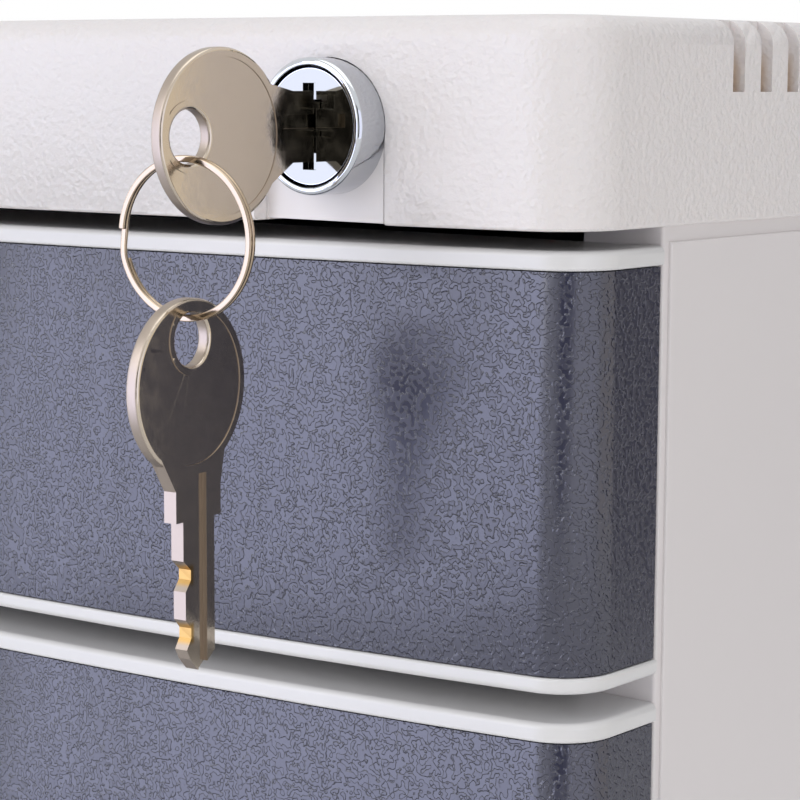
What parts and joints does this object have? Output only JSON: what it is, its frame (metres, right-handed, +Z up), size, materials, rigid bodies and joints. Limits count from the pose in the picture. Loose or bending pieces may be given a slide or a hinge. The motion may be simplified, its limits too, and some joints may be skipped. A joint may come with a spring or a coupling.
{
  "type": "desktop file drawer",
  "caption": "Bow-fronted desktop drawer cabinet in moulded plastic with an overhanging cover, sliding trays, a chrome cam lock and keys on a split ring.",
  "frame": {"origin": "middle of the bounding box, keys included, at the underside of the feet", "axes": "+X to the right, +Y to the back, +Z up; the drawers open towards -Y"},
  "size_m": [0.3, 0.4319, 0.355],
  "materials": {
    "cover_plastic": "fine leather grain, satin",
    "casing_plastic": "satin",
    "tray_plastic": "smooth, half gloss",
    "face_plastic": "coarse leather grain, half gloss",
    "lock_chrome": "polished",
    "steel": "zinc plated",
    "brass": "plain",
    "key_nickel": "nickel plated, lightly worn",
    "ring_nickel": "nickel plated",
    "rubber": "matte"
  },
  "bodies": {
    "casing": {"top_cover": "cover_plastic", "left_side_panel": "casing_plastic", "right_side_panel": "casing_plastic", "left_runner_wall": "casing_plastic", "right_runner_wall": "casing_plastic", "base_panel": "casing_plastic", "back_panel": "casing_plastic", "bar_guides": "casing_plastic", "rubber_feet": "rubber", "back_screws": "steel", "lock_housing": "lock_chrome", "lock_nut": "steel"},
    "lock_core": {"lock_plug": "lock_chrome", "lock_wafers": "brass", "lock_cam": "steel", "cam_screw": "steel"},
    "bar": {"lock_bar": "steel", "bar_fork": "steel", "bar_hooks": "steel"},
    "key_in_lock": {"key": "key_nickel"},
    "key_ring": {"split_ring": "ring_nickel"},
    "hanging_key": {"spare_key": "key_nickel"},
    "drawer_1": {"drawer_1_tray": "tray_plastic", "drawer_1_catch": "steel", "drawer_1_face": "face_plastic"},
    "drawer_2": {"drawer_2_tray": "tray_plastic", "drawer_2_catch": "steel", "drawer_2_face": "face_plastic"},
    "drawer_3": {"drawer_3_tray": "tray_plastic", "drawer_3_catch": "steel", "drawer_3_face": "face_plastic"},
    "drawer_4": {"drawer_4_tray": "tray_plastic", "drawer_4_catch": "steel", "drawer_4_face": "face_plastic"},
    "drawer_5": {"drawer_5_tray": "tray_plastic", "drawer_5_catch": "steel", "drawer_5_face": "face_plastic"}
  },
  "joints": [
    {"name": "lock_turn", "type": "hinge", "parent": "casing", "child": "lock_core", "pos_m": [0.1127, -0.17, 0.34066], "axis": [0, -1, 0], "range_deg": [-90, 0]},
    {"name": "bar_slide", "type": "slide", "parent": "casing", "child": "bar", "axis": [0, 0, 1], "range_m": [-0.01132, 0]},
    {"name": "key_withdraw", "type": "slide", "parent": "lock_core", "child": "key_in_lock", "axis": [0, -1, 0], "range_m": [0, 0.3]},
    {"name": "ring_swing", "type": "hinge", "parent": "key_in_lock", "child": "key_ring", "pos_m": [0.1127, -0.20455, 0.33966], "axis": [1, 0, 0], "range_deg": [-35, 8]},
    {"name": "hanging_key_swing", "type": "hinge", "parent": "key_ring", "child": "hanging_key", "pos_m": [0.1127, -0.20455, 0.31456], "axis": [0.9925, 0.1219, 0], "range_deg": [-35, 8]},
    {"name": "drawer_1_slide", "type": "slide", "parent": "casing", "child": "drawer_1", "axis": [0, -1, 0], "range_m": [0, 0.3]},
    {"name": "drawer_2_slide", "type": "slide", "parent": "casing", "child": "drawer_2", "axis": [0, -1, 0], "range_m": [0, 0.3]},
    {"name": "drawer_3_slide", "type": "slide", "parent": "casing", "child": "drawer_3", "axis": [0, -1, 0], "range_m": [0, 0.3]},
    {"name": "drawer_4_slide", "type": "slide", "parent": "casing", "child": "drawer_4", "axis": [0, -1, 0], "range_m": [0, 0.3]},
    {"name": "drawer_5_slide", "type": "slide", "parent": "casing", "child": "drawer_5", "axis": [0, -1, 0], "range_m": [0, 0.3]}
  ],
  "couplings": [
    {"joint": "bar_slide", "follows": "lock_turn", "m_per_rad": 0.0072025},
    {"joint": "key_withdraw", "follows": "drawer_1_slide", "ratio": 1}
  ]
}
